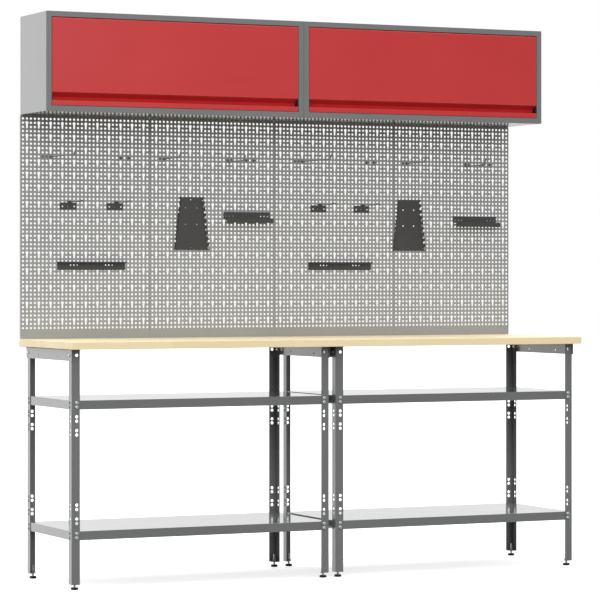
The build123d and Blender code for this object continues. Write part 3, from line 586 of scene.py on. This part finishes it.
# %% Turned disc
def turned(name, profile, centre, sides):
    """A closed shape of revolution; profile runs from the bottom to the top as (r, z)."""
    mesh = bpy.data.meshes.new(name)
    points, faces = [], []
    for radius, z in profile:
        for step in range(sides):
            angle = 2 * math.pi * step / sides
            points.append((centre[0] + radius * math.cos(angle),
                           centre[1] + radius * math.sin(angle), centre[2] + z))
    for ring in range(len(profile) - 1):
        for step in range(sides):
            a, b = ring * sides + step, ring * sides + (step + 1) % sides
            faces.append((a, b, b + sides, a + sides))
    faces.append(tuple(reversed(range(sides))))
    faces.append(tuple(range(len(points) - sides, len(points))))
    mesh.from_pydata(points, [], faces)
    mesh.polygons.foreach_set("use_smooth", [len(f) == 4 for f in faces])
    piece = bpy.data.objects.new(name, mesh)
    bpy.context.scene.collection.objects.link(piece)
    return piece


def pad_profile():
    """A thick disc with a rounded edge, and a shallow dish round the stud."""
    points = []
    for centre_z, first in ((pad_round, -math.pi / 2), (pad_height - pad_round, 0.0)):
        for step in range(edge_steps + 1):
            angle = first + math.pi / 2 * step / edge_steps
            points.append((pad_radius - pad_round + pad_round * math.cos(angle),
                           centre_z + pad_round * math.sin(angle)))
    points.append((stud_radius + dish_edge, pad_height))
    points.append((stud_radius + dish_floor, pad_height - dish_depth))
    points.append((stud_radius - thread_depth, pad_height - dish_depth))
    return points


# %% Threaded stud tree
def stud_tree():
    """A bar with a ridge along a helix, standing on Place."""
    tree, given = new_tree("threaded_stud", {
        "Radius": ("Float", 0.004), "Depth": ("Float", 0.0006), "Pitch": ("Float", 0.00125),
        "Length": ("Float", 0.04), "Place": ("Vector", (0, 0, 0))})
    core_radius = calc(tree, "SUBTRACT", given["Radius"], given["Depth"])
    core = add(tree, "GeometryNodeMeshCylinder", {
        "Vertices": 24, "Radius": core_radius, "Depth": given["Length"]}).outputs[0]
    core = shift(tree, core, vector(tree, 0, 0, calc(tree, "MULTIPLY", given["Length"], 0.5)))
    helix = add(tree, "GeometryNodeCurveSpiral", {
        "Resolution": 20, "Rotations": calc(tree, "DIVIDE", given["Length"], given["Pitch"]),
        "Start Radius": core_radius, "End Radius": core_radius,
        "Height": given["Length"], "Reverse": False}).outputs[0]
    ridge = add(tree, "GeometryNodeCurvePrimitiveCircle",
                {"Resolution": 4, "Radius": given["Depth"]}).outputs[0]
    thread = add(tree, "GeometryNodeCurveToMesh", {
        "Curve": helix, "Profile Curve": ridge, "Fill Caps": True}).outputs[0]
    placed = shift(tree, join(tree, core, thread), given["Place"])
    finish_tree(tree, placed, zinc)
    return tree


# %% Make the eight feet
threaded_stud = stud_tree()
for node_name in sorted(n for n in nodes if n.startswith("foot_") and n != "foot_inserts"):
    low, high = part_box(node_name)
    centre = ((low.x + high.x) / 2, (low.y + high.y) / 2, low.z)
    disc = turned(node_name + "_disc", pad_profile(), centre, disc_sides)
    disc.data.materials.append(foot_black)
    start = pad_height - thread_pitch
    stud = grow(node_name + "_stud", threaded_stud, {
        "Radius": stud_radius, "Depth": thread_depth, "Pitch": thread_pitch,
        "Length": high.z - low.z - start - thread_pitch,
        "Place": (centre[0], centre[1], low.z + start)})
    for piece, finish in ((disc, "foot_black"), (stud, "zinc")):
        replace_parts(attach(piece, node_name + "_body"), node_name)
print("feet: stud triangles", sum(len(p.vertices) - 2 for p in stud.data.polygons))

# %% [markdown]
# ## Threaded inserts
# A small corner plate closes the bottom of each angle leg, with a nut welded on it for the
# foot's stud. Its free corner is cut off, so that it doesn't stick out past the leg. One
# tree makes it from its outline, and turns it to suit each of the eight legs.

# %% Insert sizes
leg_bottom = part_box("leg_left_front_left")[0].z
insert_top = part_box("foot_inserts")[1].z
leg_sheet = 2.0 * mm
insert_plate = 3.0 * mm
insert_side = 28.0 * mm
insert_cut = 15.0 * mm
nut_radius = 7.5 * mm
bore_radius = stud_radius + 0.05 * mm
nut_height = insert_top - leg_bottom - insert_plate
stud_from_corner = 16.0 * mm
print("nut height", round(nut_height / mm, 1), "mm")


# %% Insert outline
def corner_points():
    """The plate's outline with its stud hole at the origin and the leg's corner low left."""
    near = leg_sheet - stud_from_corner
    far = near + insert_side - leg_sheet
    return [(near, near), (far, near), (far, far - insert_cut), (far - insert_cut, far),
            (near, far)]


# %% Insert tree
def insert_tree():
    """A plate with a hexagon nut on top, both bored for the stud, turned about the bore."""
    tree, given = new_tree("threaded_insert", {
        "Outline": ("Object", None), "Plate": ("Float", 0.003), "Bore": ("Float", 0.004),
        "Nut Radius": ("Float", 0.0075), "Nut Height": ("Float", 0.0065),
        "Turn": ("Float", 0.0), "Place": ("Vector", (0, 0, 0))})
    edge = add(tree, "GeometryNodeObjectInfo", {"Object": given["Outline"]}).outputs["Geometry"]
    bore = add(tree, "GeometryNodeCurvePrimitiveCircle",
               {"Resolution": 24, "Radius": given["Bore"]}).outputs[0]
    hexagon = add(tree, "GeometryNodeCurvePrimitiveCircle",
                  {"Resolution": 6, "Radius": given["Nut Radius"]}).outputs[0]
    plate = plate_from(tree, join(tree, edge, bore), given["Plate"])
    nut = plate_from(tree, join(tree, hexagon, bore), given["Nut Height"])
    nut = shift(tree, nut, vector(tree, 0, 0, given["Plate"]))
    placed = add(tree, "GeometryNodeTransform", {
        "Geometry": join(tree, plate, nut), "Rotation": vector(tree, 0, 0, given["Turn"]),
        "Translation": given["Place"]}).outputs[0]
    finish_tree(tree, placed, frame_grey)
    return tree


# %% Make the eight inserts
threaded_insert = insert_tree()
outline = closed_outline("corner_outline", corner_points())
turns = {"front_left": 0.0, "front_right": 0.5, "back_right": 1.0, "back_left": 1.5}
for bench in ("left", "right"):
    for corner, half_turns in turns.items():
        low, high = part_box(f"foot_{bench}_{corner}")
        insert = grow(f"leg_insert_{bench}_{corner}", threaded_insert, {
            "Outline": outline, "Plate": insert_plate, "Bore": bore_radius,
            "Nut Radius": nut_radius, "Nut Height": nut_height, "Turn": half_turns * math.pi,
            "Place": ((low.x + high.x) / 2, (low.y + high.y) / 2, leg_bottom)})
        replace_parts(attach(insert, "bench_and_wall"), "foot_inserts")
bpy.data.objects.remove(outline)
print("inserts: triangles each", sum(len(p.vertices) - 2 for p in insert.data.polygons))

# %% [markdown]
# ## Floor
# The floor is a plain pale sheet, far wider than the view. It glows a little, as a lit
# white table does, so shadows on it stay faint. It throws no light back up and is not
# mirrored, so undersides stay dark.

# %% Floor values
floor_reach = 30.0
floor_glow = 0.58
floor_pale, floor_paler = (0.66, 0.66, 0.66, 1), (0.68, 0.68, 0.68, 1)
cloud_scale = 0.7


# %% Floor
def studio_floor():
    """A flat sheet at the height of the feet."""
    mesh = bpy.data.meshes.new("studio_floor")
    reach = floor_reach
    corners = [(-reach, -reach, 0), (reach, -reach, 0), (reach, reach, 0), (-reach, reach, 0)]
    mesh.from_pydata(corners, [], [(0, 1, 2, 3)])
    floor = bpy.data.objects.new("studio_floor", mesh)
    bpy.context.scene.collection.objects.link(floor)
    material, tree, shader = start_material("floor_white", **{
        "Roughness": 0.9, "Emission Color": (1, 1, 1, 1), "Emission Strength": floor_glow})
    tone = blend_colours(tree, noise(tree, pattern_space(tree), cloud_scale),
                         floor_pale, floor_paler)
    tree.links.new(tone, shader.inputs["Base Color"])
    mesh.materials.append(material)
    floor.visible_diffuse = False
    floor.visible_glossy = False
    return floor


print("stage:", studio_floor().name)

# %% [markdown]
# ## Lights
# Two rectangular area lights do the work of studio softboxes. The large one hangs high in
# front on the left and models the fronts. The small one, on the left, only lifts the faces
# that look that way. Both aim at the middle of the object. A larger light gives softer
# shadows, so each size matters as much as its power in watts.


# %% Lights
def soft_light(name, place, width, height, power):
    """A rectangular area light that faces the middle of the object."""
    data = bpy.data.lights.new(name, "AREA")
    data.shape = "RECTANGLE"
    data.size, data.size_y = width, height
    data.energy = power
    light = bpy.data.objects.new(name, data)
    light.location = place
    facing = (cad_box[0] + cad_box[1]) / 2 - Vector(place)
    light.rotation_euler = facing.to_track_quat("-Z", "Y").to_euler()
    bpy.context.scene.collection.objects.link(light)
    print(name, "is", round(facing.length, 1), "m from the middle")


soft_light("key_high_front", (-1.6, -6.0, 3.3), width=5.0, height=3.2, power=160)
soft_light("side_left", (-5.5, 0.8, 1.8), width=3.0, height=3.0, power=12)

# %% [markdown]
# ## Room
# Glossy paint shows its surroundings more than its own colour, so the room is part of the
# finish. It is a white surround whose brightness changes with direction, not an image: a
# few ramps read the direction's X, Y and Z and are added up. Looked at directly it is plain
# white, as a studio backdrop is.

# %% Room brightness
# Each ramp is: from, to (parts of a direction, -1 to 1), brightness at from, and at to.
front_to_back = (-0.5, 0.6, 0.5, 1.05)
level_to_overhead = (0.1, 1.0, 0.0, 1.3)
right_to_left = (0.1, -0.35, 0.0, 0.75)
side_to_behind = (0.55, 0.8, 0.0, 1.0)
down_to_level = (-0.35, -0.12, 0.12, 1.0)
backdrop_white = 1.0


# %% Room
def studio_room():
    """A surround that is brightest overhead and behind on the left, and dim underfoot."""
    world = bpy.data.worlds.new("studio")
    world.use_nodes = True
    tree = world.node_tree
    tree.nodes.clear()
    direction = add(tree, "ShaderNodeTexCoord").outputs["Generated"]
    axes = add(tree, "ShaderNodeSeparateXYZ", {"Vector": direction})
    depth = remap(tree, axes.outputs["Y"], *front_to_back)
    height = remap(tree, axes.outputs["Z"], *level_to_overhead)
    left = remap(tree, axes.outputs["X"], *right_to_left)
    behind = remap(tree, axes.outputs["Y"], *side_to_behind)
    left_behind = calc(tree, "MULTIPLY", left, behind)
    above_floor = remap(tree, axes.outputs["Z"], *down_to_level)
    total = calc(tree, "ADD", calc(tree, "ADD", depth, height), left_behind)
    total = calc(tree, "MULTIPLY", total, above_floor)
    room = add(tree, "ShaderNodeBackground", {"Color": (1, 1, 1, 1), "Strength": total})
    white = add(tree, "ShaderNodeBackground",
                {"Color": (1, 1, 1, 1), "Strength": backdrop_white})
    seen = add(tree, "ShaderNodeLightPath").outputs["Is Camera Ray"]
    mixed = add(tree, "ShaderNodeMixShader", {0: seen, 1: room.outputs[0], 2: white.outputs[0]})
    add(tree, "ShaderNodeOutputWorld", {"Surface": mixed.outputs[0]})
    bpy.context.scene.world = world


studio_room()
bpy.context.scene.view_settings.view_transform = "Standard"
print("room:", bpy.context.scene.world.name)

# %% [markdown]
# ## Camera
# The camera stands a little over a metre up and about ten metres away to the left, with a
# long lens. It is level, so upright edges stay upright, and the lens is shifted a little
# to bring the whole height into the frame.

# %% Camera values
lens_length = 171.6
sensor_width = 36.0
lens_shift = -0.0413
camera_place = (-4.4763, -9.3983, 1.0782)
camera_heading = math.radians(-25.37)
farthest_seen = 100.0


# %% Camera
def level_camera():
    """A level camera, made the scene's own."""
    data = bpy.data.cameras.new("view_camera")
    data.lens = lens_length
    data.sensor_width = sensor_width
    data.shift_y = lens_shift
    data.clip_end = farthest_seen
    camera = bpy.data.objects.new("view_camera", data)
    camera.location = camera_place
    camera.rotation_euler = (math.pi / 2, 0, camera_heading)
    bpy.context.scene.collection.objects.link(camera)
    bpy.context.scene.camera = camera
    print("view across", round(math.degrees(data.angle), 1), "degrees")


level_camera()
